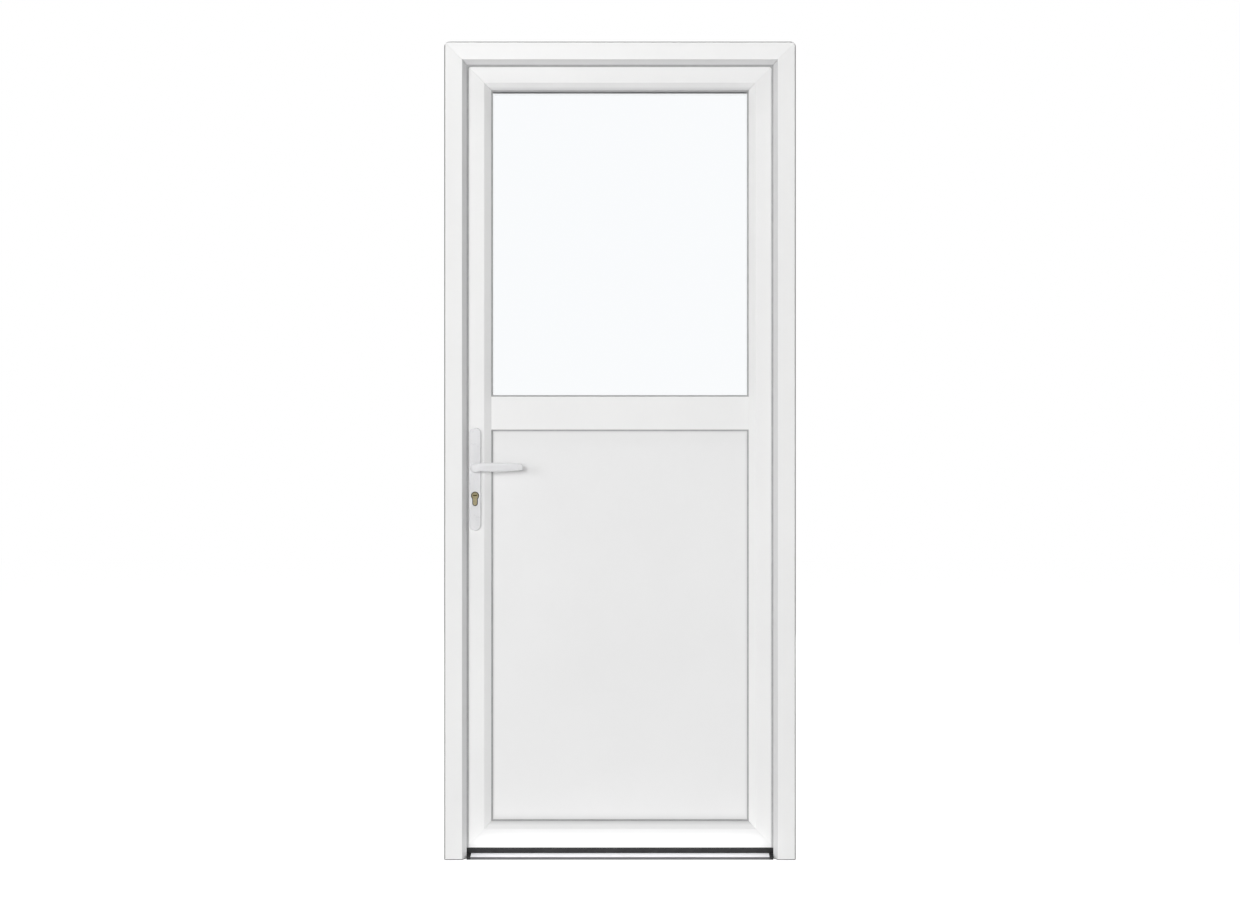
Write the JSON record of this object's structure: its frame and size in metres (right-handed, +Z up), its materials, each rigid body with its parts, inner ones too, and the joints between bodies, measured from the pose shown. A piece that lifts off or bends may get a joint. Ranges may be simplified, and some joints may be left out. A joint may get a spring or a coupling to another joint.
{
  "type": "service door",
  "caption": "White PVC service door with a half glazed, inward opening leaf in its frame, lever handles, a lock cylinder and a low aluminium sill.",
  "frame": {"origin": "On the floor, under the middle of the sill, at the middle of the frame's depth.", "axes": "Seen from outside: X to the right, Y into the building, Z up."},
  "size_m": [0.9, 0.178, 2.095],
  "materials": {
    "white_pvc": "satin",
    "grey_seal": "matte",
    "clear_glass": "clear",
    "anodised_aluminium": "anodised",
    "black_plastic": "matte",
    "white_lacquer": "satin",
    "brass": "satin",
    "zinc_steel": "zinc plated",
    "spacer_metal": "mill"
  },
  "bodies": {
    "frame": {"frame_lock_jamb": "white_pvc", "frame_head": "white_pvc", "frame_hinge_jamb": "white_pvc", "frame_seal": "grey_seal", "sill_outer_rail": "anodised_aluminium", "sill_thermal_break": "black_plastic", "sill_inner_rail": "anodised_aluminium", "sill_end_lock": "black_plastic", "sill_end_hinge": "black_plastic", "latch_keep": "zinc_steel", "bolt_keep_low": "zinc_steel", "bolt_keep_high": "zinc_steel", "hinge_frame_bottom": "white_lacquer", "hinge_frame_middle": "white_lacquer", "hinge_frame_top": "white_lacquer"},
    "leaf": {"leaf_lock_stile": "white_pvc", "leaf_top_rail": "white_pvc", "leaf_hinge_stile": "white_pvc", "leaf_bottom_rail": "white_pvc", "leaf_mid_rail": "white_pvc", "lower_panel": "white_pvc", "glass_outer_pane": "clear_glass", "glass_inner_pane": "clear_glass", "glass_spacer": "spacer_metal", "glass_outer_seal": "grey_seal", "glass_inner_seal": "grey_seal", "panel_outer_seal": "grey_seal", "panel_inner_seal": "grey_seal", "leaf_seal": "grey_seal", "drip_seal": "black_plastic", "lock_strip": "zinc_steel", "lock_bolts": "zinc_steel", "lock_cylinder": "brass", "handle_plate_outside": "white_lacquer", "handle_plate_inside": "white_lacquer", "hinge_leaf_bottom": "white_lacquer", "hinge_leaf_middle": "white_lacquer", "hinge_leaf_top": "white_lacquer", "glass_bead_lock": "white_pvc", "glass_bead_top": "white_pvc", "glass_bead_hinge": "white_pvc", "glass_bead_bottom": "white_pvc", "panel_bead_lock": "white_pvc", "panel_bead_top": "white_pvc", "panel_bead_hinge": "white_pvc", "panel_bead_bottom": "white_pvc"},
    "lever": {"lever_outside": "white_lacquer", "lever_inside": "white_lacquer", "lever_spindle": "zinc_steel"}
  },
  "joints": [
    {"name": "leaf_swing", "type": "hinge", "parent": "frame", "child": "leaf", "pos_m": [0.427, 0.06, 1.04], "axis": [0, 0, -1], "range_deg": [0, 100]},
    {"name": "lever_turn", "type": "hinge", "parent": "leaf", "child": "lever", "pos_m": [-0.372, -0.012, 1.004], "axis": [0, 1, 0], "range_deg": [0, 45], "stiffness_Nm_per_rad": 2, "springref_deg": -28.65}
  ]
}
